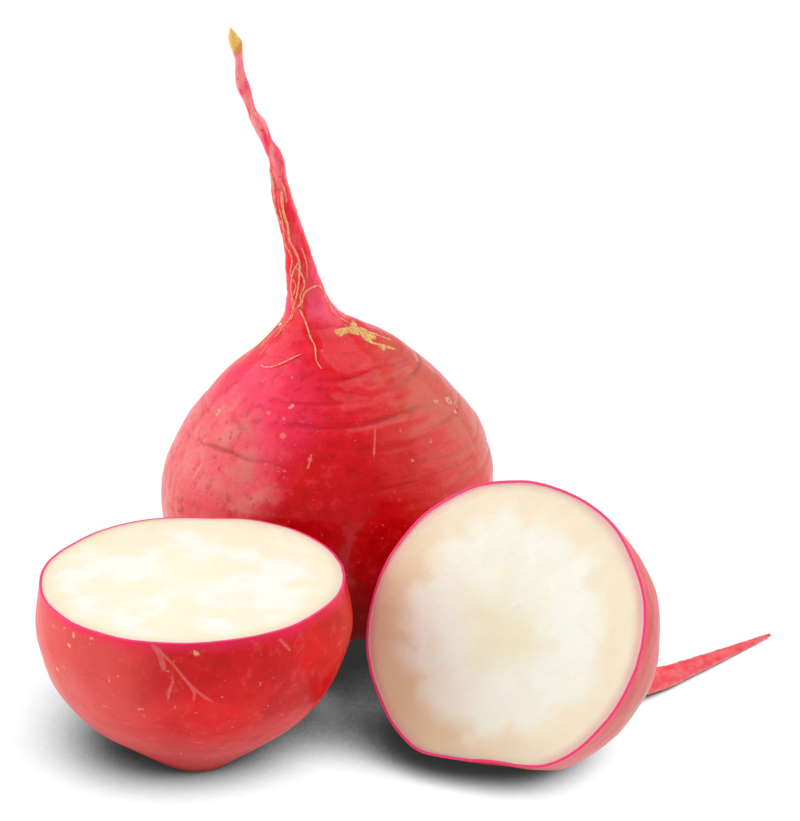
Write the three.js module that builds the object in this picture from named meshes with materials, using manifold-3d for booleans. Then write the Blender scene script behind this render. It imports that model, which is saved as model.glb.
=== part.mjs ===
// Radishes: one whole red radish standing on its trimmed crown with its root up, and a second one cut
// across into a crown half that stands cut side up and a tail half that lies on its side.
// Millimetres, +Z up. The origin is the middle of the whole radish's foot, on the surface they rest on.
import * as THREE from "three";
import { mergeVertices } from "three/addons/utils/BufferGeometryUtils.js";
import Module from "manifold-3d";

// The whole radish
const WHOLE_RADIUS = 28.6; // widest part, at the equator
const WHOLE_EQUATOR = 24.6; // height of the widest part
const WHOLE_NECK = 57.5; // height where the body has run out into the root
const WHOLE_TIP = 107.9; // height of the root's tip
const FOOT_RADIUS = 5.2; // flat left by the knife that took the leaves off

// The second radish, along its own axis from its foot
const CUT_HEIGHT = 32.2; // where the knife went through
const CUT_RADIUS = 24.1;
const SECOND_RADIUS = 25; // widest part, a little on the crown's side of the cut
const SECOND_NECK = 60.3; // height where the body has run out into the root
const SKIN = 0.8; // red skin left on the white flesh
const SEAM = 0.25; // clear space kept between the skin and the flesh
const FLAT_SIDE = THREE.MathUtils.degToRad(105); // side that grew pressed flat
const FLAT_SIDE_DEPTH = 1.7;
const FLAT_SIDE_REACH = 0.42; // in radians to each side

// Where the halves rest
const CROWN_HALF_AT = new THREE.Vector2(-20.4, -49.9);
const CROWN_HALF_TURN = THREE.MathUtils.degToRad(-35);
const TAIL_HALF_CUT_AT = new THREE.Vector2(28.8, -53.2); // middle of the tail half's cut face
const TAIL_HALF_TURN = THREE.MathUtils.degToRad(31.5); // how far the axis turns right of straight back
const TAIL_HALF_DIP = THREE.MathUtils.degToRad(32.8); // how far the axis dips below level
const REST_FLAT_DEPTH = 0.15; // how far the skin is pressed flat where the tail half rests

// Fineness of the surfaces
const BODY_SIDES = 32;
const WHOLE_STEPS = 40;
const SECOND_STEPS = 28;
const ROOT_SIDES = 10;
const WHOLE_ROOT_STEPS = 54;
const TAIL_STEPS = 30;
const ROOTLET_SIDES = 5;
const ROOTLET_STEPS = 20;
const SIDE_ROOT_STEPS = 3; // for each point of its route

const skinRed = new THREE.MeshStandardMaterial({ color: 0xb3152c, roughness: 0.42, metalness: 0 });
const cutRed = new THREE.MeshStandardMaterial({ color: 0xb9212f, roughness: 0.42, metalness: 0 });
const flesh = new THREE.MeshStandardMaterial({ color: 0xf6ecd2, roughness: 0.5, metalness: 0 });

const wasm = await Module();
wasm.setup();

// A closed surface through rings of points, each ring going round the same way and closed at both ends
// by a fan of triangles.
function loft(rings) {
  const sides = rings[0].length;
  const middle = (ring) => ring.reduce((sum, p) => sum.add(p), new THREE.Vector3()).divideScalar(sides);
  const points = [...rings.flat(), middle(rings[0]), middle(rings.at(-1))];
  const start = points.length - 2;
  const end = points.length - 1;
  const last = (rings.length - 1) * sides;
  const faces = [];
  for (let side = 0; side < sides; side++) {
    const next = (side + 1) % sides;
    faces.push(start, next, side);
    faces.push(end, last + side, last + next);
    for (let base = 0; base < last; base += sides) {
      faces.push(base + side, base + next, base + sides + next);
      faces.push(base + side, base + sides + next, base + sides + side);
    }
  }
  const geometry = new THREE.BufferGeometry().setFromPoints(points);
  geometry.setIndex(faces);
  return geometry;
}

function toSolid(geometry) {
  const bare = geometry.clone();
  bare.deleteAttribute("normal");
  bare.deleteAttribute("uv");
  const merged = mergeVertices(bare, 1e-4);
  const mesh = new wasm.Mesh({
    numProp: 3,
    vertProperties: new Float32Array(merged.attributes.position.array),
    triVerts: new Uint32Array(merged.index.array),
  });
  return new wasm.Manifold(mesh);
}

function toGeometry(solid) {
  const mesh = solid.getMesh();
  const geometry = new THREE.BufferGeometry();
  geometry.setAttribute("position", new THREE.BufferAttribute(new Float32Array(mesh.vertProperties), 3));
  geometry.setIndex(new THREE.BufferAttribute(new Uint32Array(mesh.triVerts), 1));
  const faceted = geometry.toNonIndexed();
  faceted.computeVertexNormals();
  return faceted;
}

function addMesh(parent, name, solid, material) {
  const mesh = new THREE.Mesh(toGeometry(solid), material);
  mesh.name = name;
  parent.add(mesh);
  return mesh;
}

// A soft dip of depth 1 at the middle, width wide to each side.
const dip = (distance, width) => Math.exp(-((distance / width) ** 2));

// Shortest way round from one angle to another, in radians.
const turnBetween = (a, b) => Math.atan2(Math.sin(a - b), Math.cos(a - b));

// The point at an angle and a distance from the middle of a level section.
function levelPoint(middle, out, angle, height) {
  return new THREE.Vector3(middle.x + out * Math.cos(angle), middle.y + out * Math.sin(angle), height);
}

// Level rings round a body: profile gives radius and height, centre the middle of the ring at a height,
// relief the change of radius at a height and an angle.
function levelRings({ profile, steps, sides, centre, relief, inset = 0 }) {
  const rings = [];
  for (let step = 0; step <= steps; step++) {
    const point = profile.getPointAt(step / steps);
    const along = profile.getTangentAt(step / steps);
    const radius = point.x - inset * along.y;
    const height = point.y + inset * along.x;
    const middle = centre(height);
    const ring = [];
    for (let side = 0; side < sides; side++) {
      const angle = (side / sides) * 2 * Math.PI;
      ring.push(levelPoint(middle, radius + relief(height, angle), angle, height));
    }
    rings.push(ring);
  }
  return rings;
}

// A tapering root along a route of points: radii are given at the points, and knots are the rings of
// small swellings where side roots broke off.
function taperedRoot({ route, radii, steps, sides, knot = 0, knots = 0 }) {
  const path = new THREE.CatmullRomCurve3(route, false, "centripetal");
  const frames = path.computeFrenetFrames(steps, false);
  const rings = [];
  for (let step = 0; step <= steps; step++) {
    const share = step / steps;
    const place = path.getPointAt(share);
    const at = path.getUtoTmapping(share) * (radii.length - 1);
    const before = Math.min(Math.floor(at), radii.length - 2);
    const radius = THREE.MathUtils.lerp(radii[before], radii[before + 1], at - before);
    const swell = radius * (1 + knot * Math.sin(share * knots * 2 * Math.PI + 0.7 * Math.sin(share * 23)));
    const ring = [];
    for (let side = 0; side < sides; side++) {
      const angle = (side / sides) * 2 * Math.PI;
      const out = frames.normals[step].clone().multiplyScalar(swell * Math.cos(angle));
      out.addScaledVector(frames.binormals[step], swell * Math.sin(angle));
      ring.push(out.add(place));
    }
    rings.push(ring);
  }
  return loft(rings);
}

// Whole radish: body, root with kinks, and the corky stumps and rootlets that cling to its neck
const wholeProfile = new THREE.SplineCurve([
  new THREE.Vector2(FOOT_RADIUS, 0),
  new THREE.Vector2(7.6, 1.2),
  new THREE.Vector2(14.5, 3.2),
  new THREE.Vector2(21, 7),
  new THREE.Vector2(25.8, 12.6),
  new THREE.Vector2(28.1, 18.4),
  new THREE.Vector2(WHOLE_RADIUS, WHOLE_EQUATOR),
  new THREE.Vector2(28.1, 31),
  new THREE.Vector2(26.3, 36),
  new THREE.Vector2(23.9, 40),
  new THREE.Vector2(20.8, 44),
  new THREE.Vector2(17.9, 47),
  new THREE.Vector2(14.6, 50),
  new THREE.Vector2(11.2, 52.9),
  new THREE.Vector2(7.6, 55.4),
  new THREE.Vector2(4.7, WHOLE_NECK),
  new THREE.Vector2(3.9, 59.5),
]);

// The body leans a little to +X up to its shoulder, and the neck comes out of it on the other side.
const wholeLean = new THREE.SplineCurve([
  new THREE.Vector2(0, 0),
  new THREE.Vector2(0, 26),
  new THREE.Vector2(0.8, 38),
  new THREE.Vector2(0.9, 52),
  new THREE.Vector2(-0.6, 55.4),
  new THREE.Vector2(-2.7, WHOLE_NECK),
  new THREE.Vector2(-3.3, 60.5),
]);
function wholeCentre(height) {
  const knots = wholeLean.points;
  const upper = Math.max(1, knots.findIndex((knot) => knot.y >= height));
  const lower = knots[upper - 1];
  const share = THREE.MathUtils.smoothstep(height, lower.y, knots[upper].y);
  return new THREE.Vector2(THREE.MathUtils.lerp(lower.x, knots[upper].x, share), 0);
}

const WRINKLE_HEIGHTS = [29.5, 33.2, 38.8, 42.5, 45.2, 49.6, 53];
const WRINKLE_DEPTH = 0.3;
const WRINKLE_WIDTH = 0.9;
function wholeRelief(height, angle) {
  const share = THREE.MathUtils.smoothstep(height, 2, 14) * (1 - THREE.MathUtils.smoothstep(height, 50, 57));
  let change = share * (0.3 * Math.cos(2 * angle + 0.6) + 0.22 * Math.cos(3 * angle + 2.1));
  WRINKLE_HEIGHTS.forEach((wrinkle, index) => {
    const wave = 0.8 * Math.sin(angle * 2 + index * 1.9);
    const strength = 0.55 + 0.45 * Math.cos(angle + 1.3 + index * 1.1);
    change -= WRINKLE_DEPTH * strength * dip(height - wrinkle - wave, WRINKLE_WIDTH);
  });
  return change;
}

const wholeBody = loft(
  levelRings({
    profile: wholeProfile,
    steps: WHOLE_STEPS,
    sides: BODY_SIDES,
    centre: wholeCentre,
    relief: wholeRelief,
  }),
);

// The root starts inside the body's neck and kinks on its way up to the tip: place and radius.
const WHOLE_ROOT = [
  { at: new THREE.Vector3(-2.6, 0, 57), radius: 4.7 },
  { at: new THREE.Vector3(-3.4, 0, 61.4), radius: 3.5 },
  { at: new THREE.Vector3(-4.1, -0.2, 65.7), radius: 2.7 },
  { at: new THREE.Vector3(-4.8, -0.3, 70), radius: 2.2 },
  { at: new THREE.Vector3(-5.9, -0.1, 74.3), radius: 1.85 },
  { at: new THREE.Vector3(-7.1, 0.3, 78.5), radius: 1.75 },
  { at: new THREE.Vector3(-7.7, 0.5, 81.7), radius: 1.42 },
  { at: new THREE.Vector3(-8, 0.5, 84.8), radius: 1.3 },
  { at: new THREE.Vector3(-8.7, 0.4, 87), radius: 1.3 },
  { at: new THREE.Vector3(-9.8, 0.2, 89), radius: 1 },
  { at: new THREE.Vector3(-11, 0.1, 91.9), radius: 1.25 },
  { at: new THREE.Vector3(-12.1, -0.2, 94.2), radius: 0.8 },
  { at: new THREE.Vector3(-12.8, -0.3, 96.3), radius: 0.9 },
  { at: new THREE.Vector3(-13.5, -0.2, 98.3), radius: 1.15 },
  { at: new THREE.Vector3(-13.9, -0.2, 100.4), radius: 0.83 },
  { at: new THREE.Vector3(-14.1, -0.1, 103), radius: 0.7 },
  { at: new THREE.Vector3(-14.6, 0, 105.6), radius: 1.05 },
  { at: new THREE.Vector3(-15.2, 0, WHOLE_TIP), radius: 0.35 },
];
const wholeRoot = taperedRoot({
  route: WHOLE_ROOT.map(({ at }) => at),
  radii: WHOLE_ROOT.map(({ radius }) => radius),
  steps: WHOLE_ROOT_STEPS,
  sides: ROOT_SIDES,
});

// A point on the whole radish's skin, raised by lift.
function onWhole(height, degrees, lift) {
  const angle = THREE.MathUtils.degToRad(degrees);
  const outline = wholeProfile.getSpacedPoints(200);
  const near = outline.reduce((best, p) => (Math.abs(p.y - height) < Math.abs(best.y - height) ? p : best));
  const middle = wholeCentre(height);
  return levelPoint(middle, near.x + wholeRelief(height, angle) + lift, angle, height);
}

// Side roots: each is a route of heights and angles on the skin, with its thickness at both ends.
const SIDE_ROOTS = [
  {
    thick: 1.7,
    thin: 0.9,
    route: [[57, -78], [56.6, -56], [55.8, -40], [54.8, -28], [53.6, -18], [52.2, -10]],
  },
  { thick: 1.2, thin: 0.6, route: [[56.4, -50], [55.2, -54], [54, -54], [52.8, -58]] },
  { thick: 0.8, thin: 0.5, route: [[57.4, -110], [55.8, -118], [53.6, -116], [51.8, -104], [51.2, -92]] },
  { thick: 0.9, thin: 0.5, route: [[55.6, -170], [53, -172], [50, -176], [47, 178], [43.5, 170]] },
  { thick: 0.8, thin: 0.5, route: [[44.4, -8], [42.5, -14], [40.8, -10], [39.6, -16]] },
];
const sideRoots = SIDE_ROOTS.map(({ thick, thin, route }) =>
  taperedRoot({
    route: route.map(([height, degrees]) => onWhole(height, degrees, 0.1)),
    radii: route.map((_, index) => THREE.MathUtils.lerp(thick, thin, index / (route.length - 1)) / 2),
    steps: SIDE_ROOT_STEPS * route.length,
    sides: ROOTLET_SIDES,
  }),
);

// Rootlets that climb the root itself: each winds up its front from one height to another.
const ROOTLETS = [
  { from: 58.5, to: 78, start: -70, twist: -55 },
  { from: 58.5, to: 70, start: -125, twist: 40 },
  { from: 62, to: 86, start: -20, twist: 35 },
];
function onRoot(height, degrees) {
  const angle = THREE.MathUtils.degToRad(degrees);
  const upper = Math.max(1, WHOLE_ROOT.findIndex(({ at }) => at.z >= height));
  const above = WHOLE_ROOT[upper];
  const below = WHOLE_ROOT[upper - 1];
  const share = (height - below.at.z) / (above.at.z - below.at.z);
  const out = THREE.MathUtils.lerp(below.radius, above.radius, share);
  return levelPoint(below.at.clone().lerp(above.at, share), out, angle, height);
}
const rootlets = ROOTLETS.map(({ from, to, start, twist }) => {
  const places = 7;
  const route = [];
  for (let place = 0; place < places; place++) {
    const share = place / (places - 1);
    const wander = 14 * Math.sin(share * 9 + start);
    route.push(onRoot(THREE.MathUtils.lerp(from, to, share), start + twist * share + wander));
  }
  return taperedRoot({
    route,
    radii: route.map((_, index) => 0.42 - 0.02 * index),
    steps: ROOTLET_STEPS,
    sides: ROOTLET_SIDES,
  });
});

let whole = toSolid(wholeBody).add(toSolid(wholeRoot));
for (const piece of [...sideRoots, ...rootlets]) whole = whole.add(toSolid(piece));

// Second radish, in its own frame with its foot at the origin and its root up
const secondProfile = new THREE.SplineCurve([
  new THREE.Vector2(FOOT_RADIUS, 0),
  new THREE.Vector2(6.7, 1.6),
  new THREE.Vector2(10.4, 3.9),
  new THREE.Vector2(14, 6.8),
  new THREE.Vector2(18.7, 10.6),
  new THREE.Vector2(22.4, 15.4),
  new THREE.Vector2(24.3, 20.3),
  new THREE.Vector2(SECOND_RADIUS, 25.5),
  new THREE.Vector2(CUT_RADIUS, CUT_HEIGHT),
  new THREE.Vector2(23.6, 37),
  new THREE.Vector2(22.6, 42),
  new THREE.Vector2(20.7, 46.8),
  new THREE.Vector2(17.9, 51.2),
  new THREE.Vector2(14.4, 55),
  new THREE.Vector2(10.4, 58),
  new THREE.Vector2(6.6, SECOND_NECK),
  new THREE.Vector2(4.8, 62.4),
]);

function secondRelief(height, angle) {
  const share = THREE.MathUtils.smoothstep(height, 3, 14) * (1 - THREE.MathUtils.smoothstep(height, 48, 58));
  const lobes = 0.12 * Math.cos(2 * angle + 0.4) + 0.14 * Math.cos(3 * angle + 1.2);
  const flat = FLAT_SIDE_DEPTH * dip(turnBetween(angle, FLAT_SIDE), FLAT_SIDE_REACH);
  return share * (lobes - flat * dip(height - CUT_HEIGHT, 17));
}

function secondSolid(inset) {
  const rings = levelRings({
    profile: secondProfile,
    steps: SECOND_STEPS,
    sides: BODY_SIDES,
    centre: () => new THREE.Vector2(0, 0),
    relief: secondRelief,
    inset,
  });
  const kept = inset === 0 ? rings : rings.filter((ring) => ring[0].x > 3 * inset && ring[0].z > inset);
  return toSolid(loft(kept));
}

// A block that reaches from one height to another and past the radish on every side.
function slab(bottom, top) {
  const width = 8 * SECOND_RADIUS;
  const box = new THREE.BoxGeometry(width, width, top - bottom);
  return box.translate(0, 0, (top + bottom) / 2);
}

const crownSide = toSolid(slab(-CUT_HEIGHT, CUT_HEIGHT));
const tailSide = toSolid(slab(CUT_HEIGHT, 3 * CUT_HEIGHT));
const secondOuter = secondSolid(0);
const secondShell = secondOuter.subtract(secondSolid(SKIN));
const secondFlesh = secondSolid(SKIN + SEAM);

const radishes = new THREE.Group();
addMesh(radishes, "whole_radish", whole, skinRed);

// Crown half: stands on its trimmed crown with the cut face up
const crownHalf = new THREE.Group();
crownHalf.position.set(CROWN_HALF_AT.x, CROWN_HALF_AT.y, 0);
crownHalf.rotation.z = CROWN_HALF_TURN;
radishes.add(crownHalf);
addMesh(crownHalf, "crown_half_skin", secondShell.intersect(crownSide), cutRed);
addMesh(crownHalf, "crown_half_flesh", secondFlesh.intersect(crownSide), flesh);

// Tail half: lies on its rounded side, cut face to the front, with the root trailing along the surface
const tailHalf = new THREE.Group();
tailHalf.rotation.set(-Math.PI / 2 - TAIL_HALF_DIP, 0, -TAIL_HALF_TURN, "ZXY");
radishes.add(tailHalf);

// The group's origin is the foot that the radish had, so it goes back from the cut along the axis, and
// up until the lowest skin is just below the surface, where it is pressed flat.
const axis = new THREE.Vector3(0, 0, 1).applyEuler(tailHalf.rotation);
tailHalf.position.set(TAIL_HALF_CUT_AT.x, TAIL_HALF_CUT_AT.y, 0).addScaledVector(axis, -CUT_HEIGHT);
tailHalf.updateMatrixWorld(true);
const skinBelow = new THREE.Mesh(toGeometry(secondOuter.intersect(tailSide)));
tailHalf.add(skinBelow);
const lowest = new THREE.Box3().setFromObject(skinBelow, true).min.z;
tailHalf.remove(skinBelow);
tailHalf.position.z -= lowest + REST_FLAT_DEPTH;
tailHalf.updateMatrixWorld(true);

const toTailHalf = (x, y, z) => tailHalf.worldToLocal(new THREE.Vector3(x, y, z));
const tail = taperedRoot({
  route: [
    new THREE.Vector3(0, 0, SECOND_NECK - 1.5),
    new THREE.Vector3(0, 0, SECOND_NECK + 1.8),
    toTailHalf(47.4, -30.2, 5.4),
    toTailHalf(52.2, -29.4, 3.2),
    toTailHalf(57, -26, 2.15),
    toTailHalf(63.6, -19.9, 1.6),
    toTailHalf(70.6, -13.1, 1.05),
    toTailHalf(77.3, -6.5, 0.55),
  ],
  radii: [6, 4.8, 3.2, 2.5, 2, 1.4, 0.85, 0.4],
  steps: TAIL_STEPS,
  sides: ROOT_SIDES,
  knot: 0.05,
  knots: 7,
});
const floorBlock = slab(0, 4 * CUT_HEIGHT).translate(TAIL_HALF_CUT_AT.x, TAIL_HALF_CUT_AT.y, 0);
const aboveSurface = toSolid(floorBlock.applyMatrix4(tailHalf.matrixWorld.clone().invert()));
const tailSkin = secondShell.intersect(tailSide).add(toSolid(tail)).intersect(aboveSurface);
addMesh(tailHalf, "tail_half_skin", tailSkin.subtract(secondSolid(SKIN)), cutRed);
addMesh(tailHalf, "tail_half_flesh", secondFlesh.intersect(tailSide), flesh);

export default radishes;
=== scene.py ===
# Red garden radishes: a whole one standing on its trimmed crown, and one cut across in two halves.
# Lengths are written in millimetres and turned into metres where a mesh is made.
import math

import bpy
import numpy as np
from mathutils import Euler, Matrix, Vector


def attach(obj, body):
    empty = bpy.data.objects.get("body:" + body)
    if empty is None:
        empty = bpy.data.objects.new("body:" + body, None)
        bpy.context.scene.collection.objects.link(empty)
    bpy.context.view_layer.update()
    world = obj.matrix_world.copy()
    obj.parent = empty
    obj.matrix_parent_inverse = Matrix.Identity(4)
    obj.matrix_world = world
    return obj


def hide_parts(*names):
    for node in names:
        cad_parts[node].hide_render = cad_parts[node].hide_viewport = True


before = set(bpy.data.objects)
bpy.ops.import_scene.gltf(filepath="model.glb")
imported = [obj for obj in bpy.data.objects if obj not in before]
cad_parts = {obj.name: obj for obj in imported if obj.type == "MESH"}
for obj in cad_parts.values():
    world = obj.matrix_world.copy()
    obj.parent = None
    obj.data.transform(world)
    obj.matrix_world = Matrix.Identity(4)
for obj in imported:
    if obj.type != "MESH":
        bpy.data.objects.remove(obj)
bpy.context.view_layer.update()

# The view: the camera stands in front and looks down on the radishes, as the photograph does.
MM = 0.001
PHOTO_HEIGHT = 821
FOCAL_PIXELS = 3080
SENSOR_WIDTH = 36
LOOK_DOWN = math.radians(22.07)
CAMERA_AT = Vector((12.5, -492.3, 240.0))
NEAREST_SEEN = 0.01


def placed(name, data):
    """A new object in the scene."""
    item = bpy.data.objects.new(name, data)
    bpy.context.scene.collection.objects.link(item)
    return item


eye = bpy.data.cameras.new("eye")
eye.sensor_width = SENSOR_WIDTH
eye.lens = FOCAL_PIXELS / PHOTO_HEIGHT * SENSOR_WIDTH
eye.clip_start = NEAREST_SEEN
camera = placed("camera", eye)
camera.location = CAMERA_AT * MM
camera.rotation_euler = Euler((math.pi / 2 - LOOK_DOWN, 0, 0))
bpy.context.scene.camera = camera
bpy.context.scene.view_settings.view_transform = "Standard"


# The whole radish: one swollen root, white flesh in a thin waxy red skin, grown in one piece. It stands
# upside down on the flat that the knife left when the leaves came off, fixed to nothing, and its tap
# root rises from the neck and kinks up to a dry tip.
WHOLE_SIDES = 256
ROOT_SIDES = 64
BODY_RINGS = 210
ROOT_RINGS = 400
CURVE_STEPS = 60
SHARP_EDGE = math.radians(40)
FOOT_RADIUS = 5.2
WHOLE_MIDDLE = Vector((0, 0, 27))
WHOLE_OUTLINE = [
    (FOOT_RADIUS, 0), (7.6, 1.2), (14.5, 3.2), (21, 7), (25.8, 12.6), (28.1, 18.4), (28.6, 24.6),
    (28.1, 31), (26.3, 36), (23.9, 40), (20.8, 44), (17.9, 47), (14.6, 50), (11.2, 52.9),
    (7.6, 55.4), (5.3, 57.4),
]
# How far the body's middle leans sideways, as (lean, height).
WHOLE_LEAN = [(0, 0), (0, 26), (0.8, 38), (0.9, 52), (-0.6, 55.4), (-2.2, 57.4), (-3.2, 60.5)]
# The tap root, as (x, y, height, radius).
WHOLE_ROOT = [
    (-2.2, 0, 57.4, 5.3), (-2.65, 0, 58.9, 4.5), (-3.15, 0, 60.3, 3.8), (-3.5, 0, 62, 3.35),
    (-4.1, -0.2, 65.7, 2.7), (-4.8, -0.3, 70, 2.2), (-5.9, -0.1, 74.3, 1.85), (-7.1, 0.3, 78.5, 1.75),
    (-7.7, 0.5, 81.7, 1.42), (-8, 0.5, 84.8, 1.3), (-8.7, 0.4, 87, 1.3), (-9.8, 0.2, 89, 1.0),
    (-11, 0.1, 91.9, 1.25), (-12.1, -0.2, 94.2, 0.8), (-12.8, -0.3, 96.3, 0.9), (-13.5, -0.2, 98.3, 1.15),
    (-13.9, -0.2, 100.4, 0.83), (-14.1, -0.1, 103, 0.7), (-14.6, 0, 105.6, 1.05), (-15, 0, 107, 0.7),
    (-15.3, 0, 108.1, 0.2),
]
# The root's first rings are left out, as the body's last ring takes their place.
ROOT_START = 3
# Waves round the body's section, as (times round, height, phase), and the heights where they fade.
BODY_LOBES = [(2, 0.3, 0.6), (3, 0.22, 2.1)]
BODY_LOBES_START = (2, 14)
BODY_LOBES_END = (50, 57)
# The skin is even where it rests, and uneven above these heights.
REST_EDGE = (0.8, 4)
# Soft relief, in layers of (height, size, seed).
BODY_RIPPLES = [(0.13, 11, 3), (0.02, 2.6, 4)]
ROOT_RIPPLES = [(0.06, 5, 6), (0.012, 1.8, 7)]
# Swellings along the root, as (share of its radius, pace, phase). It is rough in full where it is thick.
ROOT_KNOBS = [(0.012, 1.9, 0), (0.008, 3.7, 1)]
ROOT_UNEVEN_FROM = (57.5, 62)
THICK_ROOT = 1.6


def smooth_step(value, low, high):
    share = np.clip((value - low) / (high - low), 0, 1)
    return share * share * (3 - 2 * share)


def evenly(points, count):
    """count points spaced evenly along a line of many points."""
    gone = np.r_[0, np.cumsum(np.linalg.norm(np.diff(points, axis=0), axis=1))]
    even = np.linspace(0, gone[-1], count)
    return np.stack([np.interp(even, gone, column) for column in points.T], axis=1)


def through(points, count):
    """count points evenly along the smooth curve that passes through the given ones."""
    points = np.array(points, float)
    padded = np.vstack([points[:1], points, points[-1:]])
    dense = []
    for before, start, end, after in zip(padded, padded[1:], padded[2:], padded[3:]):
        for share in np.linspace(0, 1, CURVE_STEPS, endpoint=False):
            slope = (end - before) / 2
            next_slope = (after - start) / 2
            bend = 3 * (end - start) - 2 * slope - next_slope
            twist = 2 * (start - end) + slope + next_slope
            dense.append(start + slope * share + bend * share**2 + twist * share**3)
    return evenly(np.array(dense + [points[-1]]), count)


def ripples(points, size, seed, waves=26):
    """Soft uneven relief from -1 to 1 or so, of about one size, the same for the same seed."""
    draw = np.random.default_rng(seed)
    ways = draw.normal(size=(waves, 3))
    ways /= np.linalg.norm(ways, axis=1)[:, None]
    ways *= draw.uniform(0.6, 1.5, waves)[:, None] * 2 * math.pi / size
    return np.cos(points @ ways.T + draw.uniform(0, 2 * math.pi, waves)).sum(1) / math.sqrt(waves)


def uneven(points, layers):
    """Ripples on ripples, from (height, size, seed) of each layer."""
    return sum(height * ripples(points, size, seed) for height, size, seed in layers)


def lobed(turn, lobes):
    """Unevenness round a section, from (times round, height, phase) of each wave."""
    return sum(height * np.cos(times * turn + phase) for times, height, phase in lobes)


def loft(name, rings):
    """A closed skin through rings of points, each end closed by a fan round its middle."""
    starts = np.cumsum([0] + [len(ring) for ring in rings])
    points = np.vstack([*rings, rings[0].mean(0), rings[-1].mean(0)])
    faces = []
    for start, above, ring, ring_above in zip(starts, starts[1:], rings, rings[1:]):
        share = len(ring) // len(ring_above)
        for side in range(len(ring_above)):
            wide = [start + (side * share + step) % len(ring) for step in range(share + 1)]
            faces.append([*wide, above + (side + 1) % len(ring_above), above + side])
    for side in range(len(rings[0])):
        faces.append([starts[-1], (side + 1) % len(rings[0]), side])
    for side in range(len(rings[-1])):
        faces.append([starts[-1] + 1, starts[-2] + side, starts[-2] + (side + 1) % len(rings[-1])])
    mesh = bpy.data.meshes.new(name)
    mesh.from_pydata((points * MM).tolist(), [], [[int(corner) for corner in face] for face in faces])
    mesh.shade_smooth()
    mesh.set_sharp_from_angle(angle=SHARP_EDGE)
    return placed(name, mesh)


def angles(sides):
    return np.linspace(0, 2 * math.pi, sides, endpoint=False)


def level_ring(middle_x, middle_y, height, radius, sides):
    turn = angles(sides)
    flat = np.full(sides, height)
    return np.stack([middle_x + radius * np.cos(turn), middle_y + radius * np.sin(turn), flat], axis=1)


def whole_lean(height):
    """How far the body's middle leans sideways at a height."""
    for (lean, low), (lean_above, high) in zip(WHOLE_LEAN, WHOLE_LEAN[1:]):
        if height <= high:
            break
    return lean + (lean_above - lean) * smooth_step(height, low, high)


# Level wrinkles in the skin, as (height, depth, width): broad ones low down, crowded ones at the neck.
WRINKLES = [
    (29.4, 0.14, 0.5), (33.2, 0.18, 0.55), (36, 0.12, 0.35), (39, 0.2, 0.45), (42.4, 0.22, 0.45),
    (45.2, 0.2, 0.45), (47.6, 0.12, 0.35), (49.6, 0.2, 0.45), (51.3, 0.16, 0.4), (53, 0.16, 0.4),
    (54.5, 0.12, 0.35),
]


def wrinkle_wave(index, turn, sine):
    """How far wrinkle number index wanders up and down on its way round, in millimetres."""
    return sine(turn * 2 + 1.9 * index) * 0.5 + sine(turn * 5 + 2.3 * index) * 0.28


def wrinkle_strength(index, turn, sine):
    """How deep wrinkle number index is at a turn: below 0 it has run out."""
    side = sine(turn + 2.4) * 0.35 + 0.25
    return side + sine(turn * 2 + 2.1 * index) * 0.4 + sine(turn * 3 + 1.1 * index) * 0.3


def whole_relief(height, turn, points):
    """How far the skin of the body stands out from its plain round."""
    share = smooth_step(height, *BODY_LOBES_START) * (1 - smooth_step(height, *BODY_LOBES_END))
    change = share * lobed(turn, BODY_LOBES)
    for index, (wrinkle, depth, width) in enumerate(WRINKLES):
        off = height - wrinkle - wrinkle_wave(index, turn, np.sin)
        strength = np.clip(wrinkle_strength(index, turn, np.sin), 0, 1)
        change = change - depth * strength * np.exp(-((off / width) ** 2))
    return change + smooth_step(height, *REST_EDGE) * uneven(points, BODY_RIPPLES)


def whole_rings():
    rings = []
    for radius, height in through(WHOLE_OUTLINE, BODY_RINGS):
        lean = float(whole_lean(height))
        plain = level_ring(lean, 0, height, radius, WHOLE_SIDES)
        relief = whole_relief(height, angles(WHOLE_SIDES), plain)
        rings.append(level_ring(lean, 0, height, radius + relief, WHOLE_SIDES))
    for x, y, height, radius in through(WHOLE_ROOT, ROOT_RINGS)[ROOT_START:]:
        plain = level_ring(x, y, height, radius, ROOT_SIDES)
        turn = angles(ROOT_SIDES)
        knobs = sum(size * math.sin(pace * height + phase) for size, pace, phase in ROOT_KNOBS)
        # The root is a little angular, and its corners wind slowly round it.
        corners = lobed(turn, [(3, 0.05, 0.12 * height), (5, 0.015, -0.2 * height)])
        rough = uneven(plain, ROOT_RIPPLES) * min(radius, THICK_ROOT) / THICK_ROOT
        relief = smooth_step(height, *ROOT_UNEVEN_FROM) * (radius * (knobs + corners) + rough)
        rings.append(level_ring(x, y, height, radius + relief, ROOT_SIDES))
    return rings


class Paint:
    """One value or colour on its way through a material's nodes."""

    def __init__(self, finish, socket):
        self.finish = finish
        self.socket = socket

    def maths(self, operation, *values):
        return self.finish.node("ShaderNodeMath", {"operation": operation}, dict(enumerate(values)))

    def __add__(self, other):
        return self.maths("ADD", self, other)

    def __radd__(self, other):
        return self.maths("ADD", other, self)

    def __sub__(self, other):
        return self.maths("SUBTRACT", self, other)

    def __rsub__(self, other):
        return self.maths("SUBTRACT", other, self)

    def __mul__(self, other):
        return self.maths("MULTIPLY", self, other)

    def __rmul__(self, other):
        return self.maths("MULTIPLY", other, self)

    def __truediv__(self, other):
        return self.maths("DIVIDE", self, other)

    def wave(self):
        return self.maths("SINE", self)

    def size(self):
        return self.maths("ABSOLUTE", self)

    def ramp(self, low, high):
        """0 at low, 1 at high, smooth between; low may be the larger."""
        inputs = {"Value": self, "From Min": low, "From Max": high}
        return self.finish.node("ShaderNodeMapRange", {"interpolation_type": "SMOOTHSTEP"}, inputs)


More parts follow.
